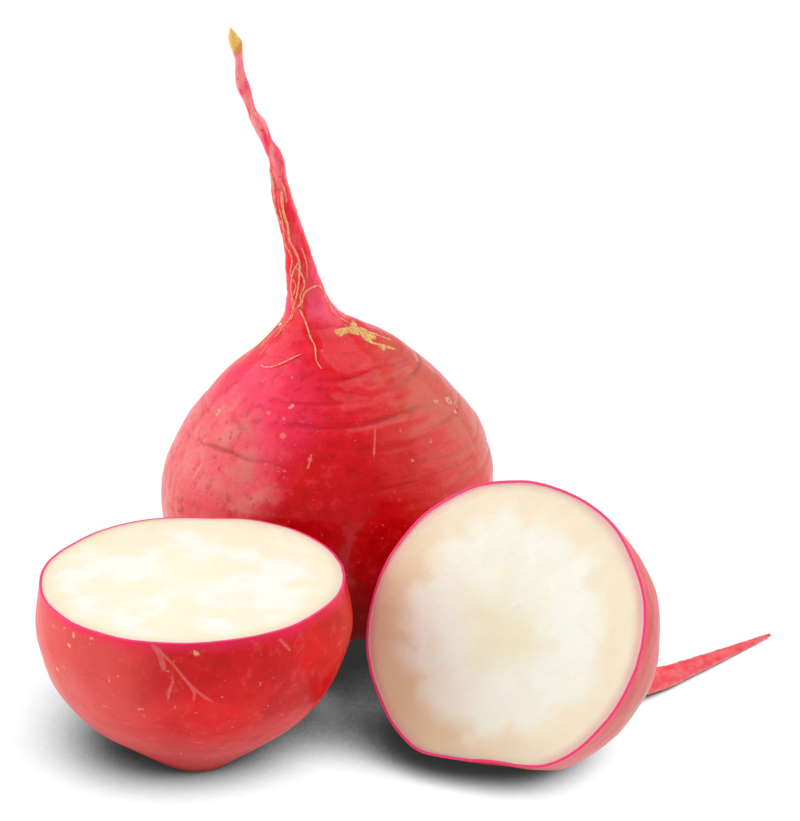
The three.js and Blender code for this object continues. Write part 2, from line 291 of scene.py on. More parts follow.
def tone(red, green, blue):
    """The colour of a pixel, as the light that the shader needs."""
    share = [channel / 255 for channel in (red, green, blue)]
    light = [s / 12.92 if s <= 0.04045 else ((s + 0.055) / 1.055) ** 2.4 for s in share]
    return (*light, 1)


class Finish:
    """A material, made of nodes."""

    def __init__(self, name, at=(0, 0, 0), turned=Euler()):
        """Coordinates run in millimetres from at, in axes turned with the piece."""
        self.material = bpy.data.materials.new(name)
        self.material.use_nodes = True
        self.tree = self.material.node_tree
        self.shader = self.tree.nodes["Principled BSDF"]
        place = self.node("ShaderNodeTexCoord", {}, {}, output="Object")
        inputs = {"Vector": place, "Location": tuple(Vector(at) * MM), "Rotation": turned}
        inputs["Scale"] = (MM, MM, MM)
        self.place = self.node("ShaderNodeMapping", {"vector_type": "TEXTURE"}, inputs)
        axes = [self.node("ShaderNodeSeparateXYZ", {}, {0: self.place}, output=axis) for axis in "XYZ"]
        self.x, self.y, self.z = axes
        self.colour = None

    def node(self, kind, settings, inputs, output=0):
        made = self.tree.nodes.new(kind)
        for name, value in settings.items():
            setattr(made, name, value)
        for name, value in inputs.items():
            if isinstance(value, Paint):
                self.tree.links.new(value.socket, made.inputs[name])
            else:
                made.inputs[name].default_value = value
        return Paint(self, made.outputs[output])

    def vector(self, operation, *values, output=0):
        made_from = dict(enumerate(values))
        return self.node("ShaderNodeVectorMath", {"operation": operation}, made_from, output)

    def noise(self, size, detail=2, at=None, rough=0.5):
        """Cloudy values round 0.5, in lumps of about that size in millimetres."""
        inputs = {"Vector": at or self.place, "Scale": 1 / size, "Detail": detail, "Roughness": rough}
        return self.node("ShaderNodeTexNoise", {}, inputs)

    def stretched(self, x, y, z):
        """The place on the piece, with each axis drawn out or pressed together."""
        return self.vector("MULTIPLY", self.place, (x, y, z))

    def away(self, point):
        """Distance in millimetres from a point of the piece."""
        return self.vector("DISTANCE", self.place, tuple(point), output="Value")

    def facing(self, middle, way):
        """1 where the skin lies in that way from the middle, -1 opposite."""
        unit = self.vector("NORMALIZE", self.vector("SUBTRACT", self.place, tuple(middle)))
        return self.vector("DOT_PRODUCT", unit, tuple(Vector(way).normalized()), output="Value")

    def from_line(self, start, end):
        """Distance in millimetres from a straight line between two points of the piece."""
        arm = Vector(end) - Vector(start)
        out = self.vector("SUBTRACT", self.place, tuple(start))
        share = self.vector("DOT_PRODUCT", out, tuple(arm / arm.length_squared), output="Value")
        share = self.node("ShaderNodeClamp", {}, {0: share})
        along = self.node("ShaderNodeVectorMath", {"operation": "SCALE"}, {0: tuple(arm), "Scale": share})
        return self.vector("DISTANCE", out, along, output="Value")

    def scratched(self, scratches, unrest):
        """1 on scratches, each given as its width and the points it runs through."""
        lines = 0
        for width, points in scratches:
            for start, end in zip(points, points[1:]):
                gap = self.from_line(start, end) + (unrest - 0.5) * 0.4
                lines = lines + gap.ramp(width + 0.2, width * 0.3)
        return lines.ramp(0, 1)

    def spotted(self, spots, unrest, outer, inner):
        """Above 0 on spots, each given as its middle and radius, with soft ragged edges."""
        return sum(
            (self.away(point) + unrest).ramp(radius + outer, radius + inner) for point, radius in spots
        )

    def mix(self, share, under, over):
        inputs = {0: share, 6: under, 7: over}
        return self.node("ShaderNodeMix", {"data_type": "RGBA"}, inputs, output=2)

    def cover(self, share, over):
        """Lays a colour over the one so far, where its share is above 0."""
        self.colour = self.mix(share, self.colour, over)

    def bump(self, height, strength, reach):
        """The shading of small relief: reach is its height in metres where the value is 1."""
        inputs = {"Height": height, "Strength": strength, "Distance": reach}
        return self.node("ShaderNodeBump", {}, inputs)

    def put(self, **values):
        """Sets the shader's sockets, named with _ for a space."""
        for name, value in values.items():
            socket = self.shader.inputs[name.replace("_", " ")]
            if isinstance(value, Paint):
                self.tree.links.new(value.socket, socket)
            else:
                socket.default_value = value


# Light sinks a little way into a radish's skin and comes out redder.
SUNKEN_LIGHT = {"Subsurface_Weight": 0.08, "Subsurface_Scale": 0.0015, "Subsurface_Radius": (1, 0.25, 0.2)}
PALE_STALK = tone(206, 196, 140)
DARK_STALK = tone(150, 138, 84)
# Where the knife took the leaves off, the colour changes between these heights.
TRIMMED = (0.3, 0.05)


def whole_skin():
    skin = Finish("crimson skin")
    crimson = tone(214, 4, 14)
    deep = tone(178, 3, 6)
    bright = tone(236, 18, 38)
    hot_pink = tone(250, 52, 98)
    salmon = tone(230, 82, 74)
    tan = tone(206, 108, 82)
    cream = tone(238, 186, 150)
    cork = tone(200, 110, 56)

    # Broad zones: crimson low down, brighter above, hot pink on the left shoulder that is partly painted
    # highlight, and paler salmon on the right that is partly painted sheen.
    broad = skin.noise(14, 3)
    blotch = skin.noise(4.5, 3, rough=0.6)
    streak = skin.noise(2.4, 4, at=skin.stretched(0.22, 0.22, 1.5), rough=0.65)
    skin.colour = skin.mix((skin.z + broad * 30).ramp(26, 44), deep, crimson)
    skin.cover((skin.z + broad * 16).ramp(46, 62) * 0.85, bright)
    skin.cover(blotch.ramp(0.5, 0.75) * 0.35, bright)
    # The hot pink on the left shoulder is partly the skin's own colour and partly painted highlight.
    shoulder = (skin.facing(WHOLE_MIDDLE, (-0.66, -0.5, 0.62)) + broad * 0.3).ramp(0.86, 1.12)
    skin.cover(shoulder * 0.85, hot_pink)
    # Painted sheen: a dull pink on the left side, thicker in blotches, stands in for the left window's
    # broad reflection; the small brown pits in it are marks on the skin.
    left = (skin.facing(WHOLE_MIDDLE, (-0.86, -0.5, 0.1)) + blotch * 0.3).ramp(0.82, 1.04)
    skin.cover(left * (streak.ramp(0.3, 0.6) * 0.5 + 0.3), tone(228, 84, 84))
    mottle = skin.noise(2.3, 4, rough=0.68)
    painted_sheen = left * (blotch.ramp(0.42, 0.62) * 0.5 + 0.15)
    skin.cover(painted_sheen, tone(222, 118, 112))
    pits = skin.noise(1.3, 1).ramp(0.67, 0.74) * left
    skin.cover(pits * 0.55, tone(150, 52, 44))
    skin.cover(mottle.ramp(0.48, 0.34) * 0.35, tone(158, 4, 8))
    skin.cover(mottle.ramp(0.54, 0.7) * 0.3, tone(244, 74, 80))
    # The right side turns salmon, partly the skin's own colour and partly painted sheen.
    right_sheen = (skin.facing(WHOLE_MIDDLE, (0.9, -0.36, 0.36)) + broad * 0.3 + streak * 0.12).ramp(0.86, 1.2)
    skin.cover(right_sheen * 0.85, skin.mix(streak.ramp(0.25, 0.6) * 0.6 + 0.35, bright, salmon))
    corky = (skin.facing(WHOLE_MIDDLE, (0.62, -0.12, 0.84)) + streak * 0.35).ramp(1.0, 1.2)
    rim = (skin.facing(WHOLE_MIDDLE, (0.88, -0.2, 0.5)) + streak * 0.4).ramp(1.0, 1.24)
    skin.cover((corky + rim).ramp(0, 1.2) * 0.55, tan)

    # Level wrinkles, with painted shade darkening their floors, each running only part of the way round.
    turn = skin.node("ShaderNodeMath", {"operation": "ARCTAN2"}, {0: skin.y, 1: skin.x})
    lines = 0
    for index, (height, depth, width) in enumerate(WRINKLES):
        off = skin.z - height - wrinkle_wave(index, turn, Paint.wave) + (blotch - 0.5) * 0.8
        strength = wrinkle_strength(index, turn, Paint.wave).ramp(0, 1)
        lines = lines + off.size().ramp(width * 1.5, width * 0.2) * strength * (depth * 3.8)
    fine = skin.noise(1.1, 3, at=skin.stretched(0.22, 0.22, 2.6)).ramp(0.58, 0.76)
    near_neck = skin.z.ramp(34, 50) * skin.z.ramp(60, 56)
    creases = (lines * streak.ramp(0.35, 0.6) + fine * near_neck * 0.4).ramp(0, 1.0)
    skin.cover(creases * 0.7, skin.mix(right_sheen, tone(150, 10, 20), tone(176, 62, 54)))

    # Pale specks and short scratches, and cork where side roots tore off.
    speck_noise = skin.noise(0.9, 1, at=skin.stretched(0.9, 0.9, 1.4))
    specks = speck_noise.ramp(0.745, 0.785)
    skin.cover(specks * 0.6, tone(240, 130, 120))
    freckles = skin.noise(0.42, 1).ramp(0.7, 0.78) * skin.noise(7, 1).ramp(0.45, 0.7)
    skin.cover(freckles * 0.4, tan)
    ragged = skin.noise(1.1, 2)
    marks = skin.spotted(WHOLE_MARKS, ragged * 1.8, 1.15, 0.7).ramp(0, 1)
    skin.cover(marks * 0.85, skin.mix(skin.noise(0.7, 2).ramp(0.4, 0.6), cream, cork))
    dots = skin.spotted(WHOLE_DOTS, ragged * 1.4, 0.85, 0.4)
    scratches = skin.scratched(WHOLE_SCRATCHES, blotch)
    skin.cover((dots + scratches * 0.8).ramp(0, 1) * 0.62, tone(244, 134, 118))

    # The tap root: clear pink high up, redder near the body, with orange knots and an ochre tip.
    fibre = skin.noise(1.7, 3, at=skin.stretched(1.2, 1.2, 0.45))
    root_red = skin.mix(fibre.ramp(0.35, 0.65), tone(250, 26, 52), tone(255, 80, 100))
    root_pink = skin.mix(fibre.ramp(0.35, 0.65), tone(254, 60, 98), tone(255, 150, 152))
    root = skin.mix(skin.z.ramp(74, 90), root_red, root_pink)
    # A paler pink on the root's right side near the neck is painted highlight on its flare.
    rim_pink = skin.facing((-4, 0, 62), (0.9, -0.3, 0)).ramp(0.35, 0.8) * skin.z.ramp(74, 62)
    root = skin.mix(rim_pink * 0.6, root, tone(255, 96, 130))
    knots = skin.noise(1.3, 1, at=skin.stretched(0.8, 0.8, 1)).ramp(0.64, 0.7) * skin.z.ramp(70, 80)
    root = skin.mix(knots * 0.8, root, tone(216, 76, 48))
    ochre = skin.mix(fibre.ramp(0.4, 0.6), tone(246, 196, 104), tone(226, 138, 62))
    root = skin.mix(skin.z.ramp(103.4, 104.6), root, ochre)
    skin.cover((skin.z + broad * 3).ramp(57.2, 61), root)

    # The crown that it stands on: a pale ring of cut leaf stalks.
    stalks = skin.mix(skin.noise(1.3, 2).ramp(0.4, 0.6), PALE_STALK, DARK_STALK)
    skin.cover(skin.z.ramp(*TRIMMED), stalks)

    grain = skin.noise(0.5, 3, at=skin.stretched(1, 1, 1.6))
    relief = grain * 0.2 + specks * 0.5 + marks * 0.9 - creases * 0.8
    relief = relief + streak * 0.7 + blotch * 1.6 + mottle * 0.7
    roughness = blotch * 0.16 + marks * 0.25 + 0.32
    skin.put(Base_Color=skin.colour, Roughness=roughness, Normal=skin.bump(relief, 0.5, 0.0004))
    skin.put(Specular_IOR_Level=0.1, Coat_Weight=0.3, Coat_Roughness=0.1, **SUNKEN_LIGHT)
    return skin.material


# Corky marks and pale dots on the whole radish's skin, as (middle, radius), and thin scratches, as
# (width, points). Those with y below 0 lie on its front.
WHOLE_MARKS = [
    ((20.9, -5.6, 44.6), 0.8), ((22.3, -4.6, 43.4), 0.7), ((21.9, -6.6, 42.8), 0.4),
    ((22.9, -6.2, 41.5), 0.4), ((18.4, -8.4, 45.6), 0.5), ((-5.5, -15.7, 47.4), 0.35),
    ((-18.3, -8.9, 43.7), 0.4), ((17.5, -15.9, 41.5), 0.45), ((14.5, -20.1, 39.6), 0.35),
    ((4, -2.6, 57), 0.8), ((6.8, -3.6, 55.2), 0.8), ((9.6, -4.2, 53.9), 0.7), ((24.5, -13, 24), 0.5),
    ((21.5, -18.5, 27), 0.4), ((-6, 26, 33), 0.7), ((14, 22, 38), 0.6), ((-22, 10, 40), 0.5),
    ((22, 16, 22), 0.6), ((-9, 24, 44), 0.5),
]
WHOLE_DOTS = [
    ((-9.6, -15.2, 46.1), 0.35), ((-6.8, -17.0, 45.8), 0.3), ((-7.0, -19.1, 43.6), 0.4),
    ((-9.8, -21.2, 39.4), 0.25), ((-7.7, -22.3, 39.1), 0.3), ((-6.7, -22.8, 38.8), 0.25),
    ((-2.4, -22.6, 40.7), 0.35), ((-2.7, -23.3, 39.6), 0.25), ((12.5, -17.7, 43.7), 0.35),
    ((11.7, -24.0, 35.6), 0.3), ((12.5, -24.2, 34.2), 0.25), ((14.2, -23.8, 33.1), 0.3),
    ((20.0, -19.8, 33.1), 0.3), ((-20.5, -11.5, 39.7), 0.3), ((-16.3, -18.7, 37.2), 0.3),
    ((2, 25, 40), 0.35), ((10, 24.5, 37), 0.3), ((-14, 23, 35), 0.35), ((25, 9, 33), 0.3),
    ((-25, 8, 33), 0.3),
]
WHOLE_SCRATCHES = [
    (0.12, [(8.3, -18.7, 44.5), (8.3, -20, 43.2), (8.2, -21.4, 41.6), (8, -22.5, 40)]),
    (0.1, [(-2.2, -22.1, 41.4), (-2.7, -23.3, 39.6)]),
    (0.2, [(-21, -14.6, 36.4), (-22.6, -14.4, 33.4)]),
    (0.2, [(16, 19, 42), (18.6, 19, 38.6), (20, 19.4, 35)]),
]

whole = loft("whole_radish_skin", whole_rings())
whole.data.materials.append(whole_skin())
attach(whole, "root")
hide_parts("whole_radish")


# Rootlets: thin tan side roots, far thinner than a match, that grew out of the tap root and dried flat
# against it and against the shoulder. Each is a tapering thread that follows the skin.
THREAD_SIDES = 8
THREAD_STEPS = 60
THREAD_WAYS = 10
# The first seed of each kind, its roughness, and how far out a thread's middle lies, in radii.
FRONT_KIND = (60, 0.14, 0.4)
ROUND_KIND = (80, 0.16, 0.45)
FLAKE_KIND = (100, 0.2)
FRONT_THINNING = 0.8
# Each is (radius at its start, radius at its end, points it passes over). These lie on the front of the
# whole radish, with their points as (x, height).
FRONT_THREADS = [
    (0.3, 0.16, [
        (-7.3, 80.6), (-7.2, 78.6), (-6.9, 76.5), (-6.3, 74.6), (-6.0, 72.2), (-5.0, 70.2), (-4.4, 68.2),
        (-4.5, 65.3), (-5.0, 61.9), (-6.0, 58.6), (-7.4, 56.6),
    ]),
    (0.24, 0.14, [(-4.5, 68.4), (-5.5, 66.4), (-5.8, 63.2), (-5.3, 60.6), (-5.9, 58.2)]),
    (0.22, 0.14, [
        (-5.3, 60.2), (-4.2, 61.2), (-3.5, 63.2), (-1.6, 64), (-0.7, 62.9), (0, 61), (1.4, 58.8),
        (3, 57.5), (4.6, 56.6),
    ]),
    (0.24, 0.12, [
        (-7.6, 77.6), (-7, 74.4), (-6.7, 71.4), (-5.6, 69), (-5.9, 66.2), (-5, 64.2), (-5.8, 61.4),
        (-5, 59.6),
    ]),
    (0.2, 0.1, [(-5.2, 67.6), (-4.2, 66.6), (-3.6, 64.6), (-4.3, 62.4), (-3.9, 60.6)]),
    (0.2, 0.1, [(-4.4, 60.3), (-3.4, 58.4), (-2.6, 56.4), (-1.8, 55.2), (-1.5, 53.6), (-0.6, 52.6)]),
    (0.2, 0.12, [(-12.4, 51.2), (-10.4, 51.2), (-8.4, 51.9), (-6, 53.2), (-4, 54.2)]),
    (0.22, 0.12, [(-6.9, 57.6), (-8.2, 55.8), (-10.3, 53.4), (-12.3, 51.3)]),
    (0.18, 0.1, [(-6.5, 78.5), (-6.9, 80.6), (-7.6, 82.6)]),
    (0.2, 0.1, [(-4.1, 70.8), (-3.3, 68.2), (-3.2, 65.6)]),
]
# These lie on its sides and back, with their points as (degrees from +X, height).
ROUND_THREADS = [
    (0.26, 0.14, [(110, 73), (95, 69), (100, 65), (120, 61), (112, 58), (104, 55), (98, 51)]),
    (0.22, 0.12, [(40, 66), (55, 62), (50, 58.5), (62, 55), (80, 52.5), (92, 50.5)]),
    (0.22, 0.1, [(150, 57), (160, 54), (172, 51), (178, 47), (172, 43.5)]),
    (0.2, 0.1, [(70, 60), (85, 57.5), (110, 56), (135, 54), (150, 50)]),
    (0.24, 0.12, [(200, 84), (230, 81), (215, 77), (240, 73.5)]),
    (0.2, 0.1, [(60, 88), (85, 84.5), (70, 80)]),
]

SECTION_STEPS = 400
WHOLE_SIDE = through(WHOLE_OUTLINE, SECTION_STEPS)
WHOLE_TAP = through(WHOLE_ROOT, SECTION_STEPS)
NECK_TOP = WHOLE_ROOT[0][2]
# A thread on the front goes no further round than this share of the way to the outline.
FRONT_LIMIT = 0.97


def whole_section(height):
    """The middle and radius of the whole radish's level section at a height."""
    if height < NECK_TOP:
        radius = float(np.interp(height, WHOLE_SIDE[:, 1], WHOLE_SIDE[:, 0]))
        return float(whole_lean(height)), 0.0, radius
    return tuple(float(np.interp(height, WHOLE_TAP[:, 2], WHOLE_TAP[:, column])) for column in (0, 1, 3))


def on_round(turn, height, lift):
    """The point at a turn and a height, lifted off the whole radish's skin."""
    middle_x, middle_y, radius = whole_section(height)
    reach = radius + lift
    return (middle_x + reach * math.cos(turn), middle_y + reach * math.sin(turn), height)


def on_front(x, height, lift):
    """The same for a point on the front, given by its x."""
    middle_x, _, radius = whole_section(height)
    across = max(-FRONT_LIMIT, min(FRONT_LIMIT, (x - middle_x) / radius))
    return on_round(-math.acos(across), height, lift)


def along_path(path, radii, sides, start_way, squash=1.0):
    """Rings square to a path, carried along it without twisting, and squashed in the starting way."""
    rings = []
    across = np.array(start_way)
    for index, (place, radius) in enumerate(zip(path, radii)):
        ahead = path[min(index + 1, len(path) - 1)] - path[max(index - 1, 0)]
        ahead = ahead / np.linalg.norm(ahead)
        across = across - ahead * (across @ ahead)
        across = across / np.linalg.norm(across)
        third = np.cross(ahead, across)
        turn = angles(sides)[:, None]
        rings.append(place + radius * (np.cos(turn) * squash * across + np.sin(turn) * third))
    return rings


def thread(name, route, thick, thin, seed, rough, start_way=(0.3, 0.5, 0.8), squash=1.0, wave=1.6):
    """A thread that tapers along a route, uneven in thickness, with both its ends rounded off."""
    path = through(route, THREAD_STEPS)
    share = np.linspace(0, 1, THREAD_STEPS)
    wobble = 1 + rough * ripples(path, wave, seed, THREAD_WAYS)
    radii = (thick + (thin - thick) * share) * wobble
    radii = radii * smooth_step(share, -0.03, 0.03) * smooth_step(1 - share, -0.02, 0.04)
    return loft(name, along_path(path, radii, THREAD_SIDES, start_way, squash))


def cork_finish(name, pale, dark):
    """Dry and matt, streaked from pale to dark, with cream flecks."""
    cork = Finish(name)
    streak = cork.noise(0.6, 3, rough=0.65)
    fleck = cork.noise(1.8, 2)
    cork.colour = cork.mix(streak.ramp(0.35, 0.65), dark, pale)
    cork.cover(fleck.ramp(0.62, 0.75) * 0.6, tone(240, 210, 160))
    cork.put(Base_Color=cork.colour, Roughness=streak * 0.2 + 0.5, Normal=cork.bump(streak, 0.6, 0.0003))
    cork.put(Subsurface_Weight=0.1, Subsurface_Scale=0.001)
    return cork.material


def joined(name, pieces):
    """One object out of several meshes."""
    first = pieces[0]
    with bpy.context.temp_override(active_object=first, selected_editable_objects=pieces, object=first):
        bpy.ops.object.join()
    first.name = name
    first.data.name = name
    return first


threads = []
first_seed, rough, out = FRONT_KIND
for seed, (thick, thin, route) in enumerate(FRONT_THREADS, first_seed):
    places = [on_front(x, height, thick * out) for x, height in route]
    threads.append(thread("thread", places, FRONT_THINNING * thick, FRONT_THINNING * thin, seed, rough))
first_seed, rough, out = ROUND_KIND
for seed, (thick, thin, route) in enumerate(ROUND_THREADS, first_seed):
    places = [on_round(math.radians(degrees), height, thick * out) for degrees, height in route]
    threads.append(thread("thread", places, thick, thin, seed, rough))
rootlets = joined("whole_radish_rootlets", threads)
rootlets.data.materials.clear()
rootlets.data.materials.append(cork_finish("dry rootlet", tone(252, 186, 132), tone(240, 128, 96)))
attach(rootlets, "root")


# The cork scar: torn flakes of dry ochre cork that stayed, grown fast, on the shoulder where a thick side
# root came off. They are pressed flat against the skin.
# Each is given as a rootlet is, but with its points as (x, y).
CORK_FLAKES = [
    (0.9, 0.45, [
        (1.7, -5.4), (3.2, -4), (4.7, -3.3), (6.1, -3.3), (7.6, -4), (9.3, -3.8), (11.1, -3.3),
        (13.2, -2),
    ]),
    (1.3, 0.8, [(4.2, -3.2), (5.4, -2.6), (6.8, -2.4), (8.4, -2.2)]),
    (0.8, 0.35, [(4.5, -2.6), (4.7, -0.8), (4.4, 0.8)]),
    (0.8, 0.3, [(6.2, -2.4), (7.8, -0.9), (9.6, -0.2), (11, 0)]),
]
CORK_OUTWARD = (0.42, -0.36, 0.83)
CORK_FLATNESS = 0.36
FLAKE_WAVE = 3.4
SHOULDER_LOW = 45
SHOULDER_STEP = 0.1


def on_shoulder(x, y):
    """The point of the body's skin above or below a place on the shoulder."""
    for height in np.arange(NECK_TOP, SHOULDER_LOW, -SHOULDER_STEP):
        middle_x, middle_y, radius = whole_section(height)
        if math.hypot(x - middle_x, y - middle_y) <= radius:
            break
    return (x, y, height)


flakes = []
first_seed, rough = FLAKE_KIND
for seed, (thick, thin, route) in enumerate(CORK_FLAKES, first_seed):
    places = [on_shoulder(x, y) for x, y in route]
    flake = thread("flake", places, thick, thin, seed, rough, CORK_OUTWARD, CORK_FLATNESS, FLAKE_WAVE)
    flakes.append(flake)
cork_scar = joined("whole_radish_cork_scar", flakes)
cork_scar.data.materials.clear()
cork_scar.data.materials.append(cork_finish("torn cork", tone(250, 206, 124), tone(214, 122, 64)))
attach(cork_scar, "root")


# The cut radish: a second root of the same kind, cut across a little on the root's side of its widest
# part. Each half is white flesh with the coloured skin grown fast to it, under half a millimetre thick.
CUT_SIDES = 256
SECOND_STEPS = 900
INNER_RINGS = 60
FLESH_RINGS = 70
CUT_HEIGHT = 32.2
CUT_RADIUS = 24.1
SKIN = 0.42
SEAM = 0.02
SECOND_OUTLINE = [
    (FOOT_RADIUS, 0), (6.9, 1.2), (8.9, 2.7), (11.3, 4.6), (14.1, 6.9), (18.5, 10.6), (22.2, 15.4),
    (24.1, 20.3), (25, 25.5), (CUT_RADIUS, CUT_HEIGHT), (23.6, 37), (22.6, 42), (20.7, 46.8),
    (17.9, 51.2), (14.4, 55), (10.4, 58), (6.6, 60.3),
]
SECOND_LOBES = [(2, 0.12, 0.4), (3, 0.14, 1.2)]
SECOND_LOBES_START = (3, 14)
SECOND_LOBES_END = (48, 58)
SECOND_RIPPLES = [(0.12, 12, 13), (0.02, 2.8, 14)]
# One side grew pressed flat: where it lies, how far up and down, how sharp its edges, how deep.
FLAT_SIDE = math.radians(82)
FLAT_SPREAD = 17
FLAT_EDGE = 0.5
CROWN_FLAT = 0.9
TAIL_FLAT = 2.5
# How the skin's cut edge is rounded off, as (in from the outer skin, proud of the cut).
SKIN_EDGE = [(0.06, 0.03), (SKIN - 0.05, 0.02)]
# The flesh's face is drawn down a little at its edge, and drying leaves it uneven.
FACE_RINGS = 90
FACE_MIDDLE = 0.012
DRYING_RIPPLES = [(0.05, 6, 21), (0.016, 1.5, 22)]
FACE_EDGE_DROP = 0.12


def second_relief(height, turn, points, flat_depth):
    """How far the cut radish's skin stands out from its plain round."""
    share = smooth_step(height, *SECOND_LOBES_START) * (1 - smooth_step(height, *SECOND_LOBES_END))
    off = np.arctan2(np.sin(turn - FLAT_SIDE), np.cos(turn - FLAT_SIDE))
    # Nothing on the flat side stands out past a plane, but its edges are rounded off.
    depth = flat_depth * math.exp(-(((height - CUT_HEIGHT) / FLAT_SPREAD) ** 2))
    over = CUT_RADIUS - (CUT_RADIUS - depth) / np.cos(np.clip(off, -1, 1))
    flat = FLAT_EDGE * np.log1p(np.exp(np.clip(over / FLAT_EDGE, -30, 30)))
    rest = smooth_step(height, *REST_EDGE)
    return share * (lobed(turn, SECOND_LOBES) - flat) + rest * uneven(points, SECOND_RIPPLES)


def second_ring(flat_depth, radius, height, inset=0.0, drop=0.0):
    """A level ring of the cut radish; the relief is the outer skin's, so an inner ring follows it."""
    plain = level_ring(0, 0, height, radius, CUT_SIDES)
    relief = second_relief(height, angles(CUT_SIDES), plain, flat_depth)
    return level_ring(0, 0, height + drop, radius + relief - inset, CUT_SIDES)


SECOND_SIDE = through(SECOND_OUTLINE, SECOND_STEPS)


def second_radius(height):
    return float(np.interp(height, SECOND_SIDE[:, 1], SECOND_SIDE[:, 0]))


FACE_RADIUS = second_radius(CUT_HEIGHT)


def outline_between(low, high, count):
    """Points of the cut radish's outline from one height to another, evenly spaced."""
    part = SECOND_SIDE[(SECOND_SIDE[:, 1] > low) & (SECOND_SIDE[:, 1] < high)]
    return evenly(np.vstack([(second_radius(low), low), part, (second_radius(high), high)]), count)


def side_rings(flat_depth, low, high, count, inset=0.0):
    """Level rings of the cut radish from one height to another."""
    outline = outline_between(low, high, count)
    return [second_ring(flat_depth, radius, height, inset) for radius, height in outline]


def face_rings(flat_depth, facing):
    """The flesh's cut face, from its edge to its middle: facing is 1 where it looks along the root."""
    rings = []
    edge = second_ring(flat_depth, FACE_RADIUS, CUT_HEIGHT, SKIN + SEAM)
    for share in np.linspace(1, FACE_MIDDLE, FACE_RINGS)[1:]:
        ring = edge * (share, share, 1)
        drying = uneven(ring, DRYING_RIPPLES) * smooth_step(1 - share, 0, 0.06)
        ring[:, 2] = CUT_HEIGHT + facing * (drying - FACE_EDGE_DROP * smooth_step(share, 0.955, 1.0))
        rings.append(ring)
    return rings


def cut_skin(name, at, turned, painted_sheen, scratches, spots, spot_tone, middle, sheen_way):
    """The skin of a half: smooth waxy red with pale specks, scratches, a pinker line at the cut, painted
    sheen on one side and painted shade low down.
    """
    skin = Finish(name, at, turned)
    red = tone(240, 6, 14)
    deep = tone(214, 4, 9)
    warm = tone(234, 42, 32)
    pink = tone(252, 30, 88)
    pale = tone(240, 150, 146)

    broad = skin.noise(12, 3)
    blotch = skin.noise(3.6, 3, rough=0.62)
    skin.colour = skin.mix(broad.ramp(0.36, 0.64), deep, red)
    skin.cover(blotch.ramp(0.45, 0.75) * 0.5, warm)
    mottle = skin.noise(2.1, 4, rough=0.68)
    skin.cover(mottle.ramp(0.5, 0.34) * 0.3, tone(176, 20, 22))
    skin.cover(mottle.ramp(0.54, 0.7) * 0.35, tone(238, 92, 84))
    # Painted sheen: a dull pink laid towards one side stands in for a window's reflection.
    side = (skin.facing(middle, sheen_way) + broad * 0.4).ramp(0.5, 1.15)
    skin.cover(side * painted_sheen, tone(220, 98, 92))
    # Painted shade: the skin is darker low down, near the floor.
    low = (skin.z + broad * 8).ramp(26, 10)
    skin.cover(low * 0.9, tone(186, 2, 4))
    near_cut = (skin.z - CUT_HEIGHT).size()
    skin.cover((near_cut + blotch * 1.6).ramp(3, 0.9) * 0.7, pink)

    specks = skin.noise(0.9, 1, at=skin.stretched(1, 1, 1.3)).ramp(0.735, 0.78)
    flecks = skin.noise(1.4, 1, at=skin.stretched(0.4, 0.4, 1.8)).ramp(0.7, 0.78)
    flecks = flecks * skin.noise(6, 1).ramp(0.4, 0.65)
    skin.cover(specks * 0.6 + flecks * 0.35, pale)
    lines = skin.scratched(scratches, blotch)
    dots = skin.spotted(spots, skin.noise(1.1, 2) * 1.8, 1.15, 0.7)
    skin.cover(lines * (blotch * 0.6 + 0.1), tone(248, 132, 130))
    skin.cover(dots.ramp(0, 1) * 0.85, spot_tone)
    # At the very cut the skin shows its own thickness, a clear pink line.
    skin.cover(near_cut.ramp(0.12, 0.04), tone(252, 64, 126))
    # The root is pinker than the body.
    fibre = skin.noise(1.7, 3, at=skin.stretched(1.2, 1.2, 0.45))
    root = skin.mix(fibre.ramp(0.2, 0.8), tone(250, 58, 76), tone(252, 116, 118))
    skin.cover(skin.z.ramp(58, 62), root)
    stalks = skin.mix(blotch.ramp(0.4, 0.6), PALE_STALK, DARK_STALK)
    skin.cover(skin.z.ramp(*TRIMMED), stalks)

    grain = skin.noise(0.5, 3)
    relief = grain * 0.2 + specks * 0.4 + dots * 0.6 + lines * 0.3
    skin.put(Base_Color=skin.colour, Roughness=blotch * 0.16 + 0.3, Normal=skin.bump(relief, 0.45, 0.0003))
    skin.put(Specular_IOR_Level=0.1, Coat_Weight=low * -0.2 + 0.22, Coat_Roughness=0.18, **SUNKEN_LIGHT)
    return skin.material


